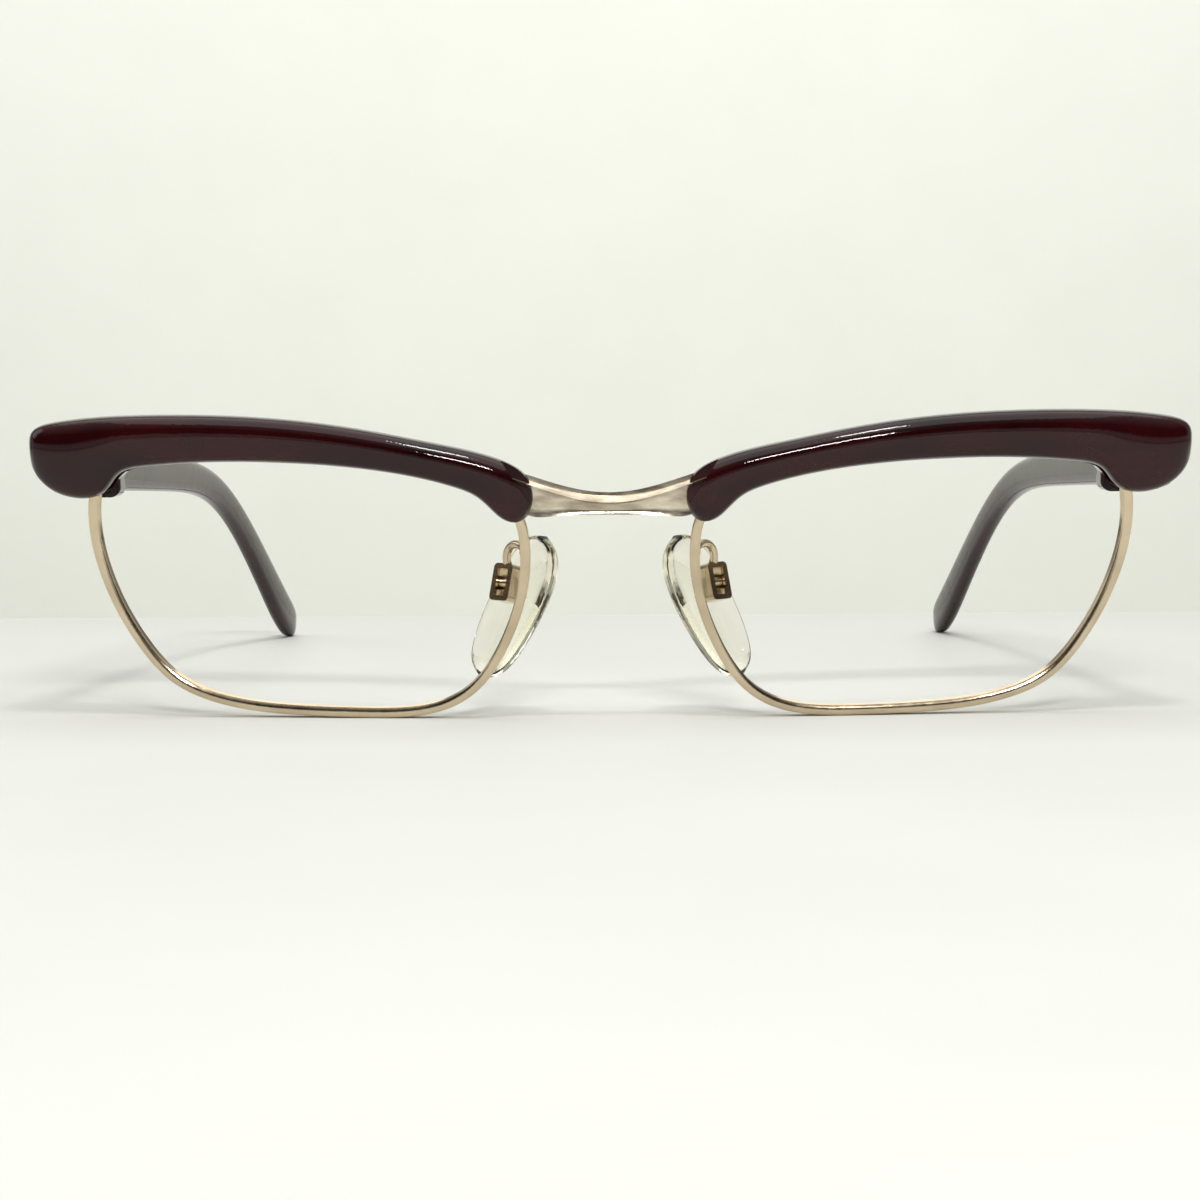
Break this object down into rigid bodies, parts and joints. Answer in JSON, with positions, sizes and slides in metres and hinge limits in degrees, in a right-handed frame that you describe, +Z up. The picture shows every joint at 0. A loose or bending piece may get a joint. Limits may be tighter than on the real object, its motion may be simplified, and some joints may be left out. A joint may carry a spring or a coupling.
{
  "type": "browline eyeglasses frame",
  "caption": "Vintage combination eyeglasses frame: grooved gold eyewires and bridge, dark glossy brow trims, folding drop-end temples and clear rocking nose pads; no lenses.",
  "frame": {"origin": "centre of the bounding box at the level the open frame stands on (rim bottoms and temple tips)", "axes": "+X to the wearer's left, +Y from the front back along the temples, +Z up"},
  "size_m": [0.1358, 0.1314, 0.0354],
  "materials": {
    "rolled_gold": "polished rolled gold with a pink champagne tone",
    "bridge_gold": "brushed face, polished upper bevel",
    "screw_gold": "bright, turned",
    "brow_acetate": "high gloss, very dark burgundy",
    "temple_acetate": "high gloss, dark burgundy",
    "pad_clear": "clear, slightly yellowed"
  },
  "bodies": {
    "front": {"left_eyewire": "rolled_gold", "right_eyewire": "rolled_gold", "bridge": "bridge_gold", "left_brow": "brow_acetate", "right_brow": "brow_acetate", "left_lock_lower": "rolled_gold", "right_lock_lower": "rolled_gold", "left_lock_upper": "rolled_gold", "right_lock_upper": "rolled_gold", "lock_screws": "screw_gold", "bridge_screws": "screw_gold", "left_front_hinge": "rolled_gold", "right_front_hinge": "rolled_gold", "front_leaf_screws": "screw_gold", "hinge_screws": "screw_gold", "left_pad_arm": "rolled_gold", "right_pad_arm": "rolled_gold", "pad_screws": "screw_gold"},
    "left_temple": {"left_temple": "temple_acetate", "left_temple_hinge": "rolled_gold", "left_temple_leaf_screws": "rolled_gold"},
    "left_nose_pad": {"left_pad": "pad_clear", "left_pad_lug": "rolled_gold"},
    "right_temple": {"right_temple": "temple_acetate", "right_temple_hinge": "rolled_gold", "right_temple_leaf_screws": "rolled_gold"},
    "right_nose_pad": {"right_pad": "pad_clear", "right_pad_lug": "rolled_gold"}
  },
  "joints": [
    {"name": "left_temple_hinge", "type": "hinge", "parent": "front", "child": "left_temple", "pos_m": [0.0612, -0.04966, 0.0305], "axis": [0, 0, 1], "range_deg": [0, 84.5]},
    {"name": "right_temple_hinge", "type": "hinge", "parent": "front", "child": "right_temple", "pos_m": [-0.0612, -0.04966, 0.0305], "axis": [0, 0, -1], "range_deg": [0, 80]},
    {"name": "left_pad_rock", "type": "hinge", "parent": "front", "child": "left_nose_pad", "pos_m": [0.0119, -0.05616, 0.0154], "axis": [0.7468, 0.6647, 0.0225], "range_deg": [-10, 10]},
    {"name": "right_pad_rock", "type": "hinge", "parent": "front", "child": "right_nose_pad", "pos_m": [-0.0119, -0.05616, 0.0154], "axis": [0.7468, -0.6647, -0.0225], "range_deg": [-10, 10]}
  ]
}
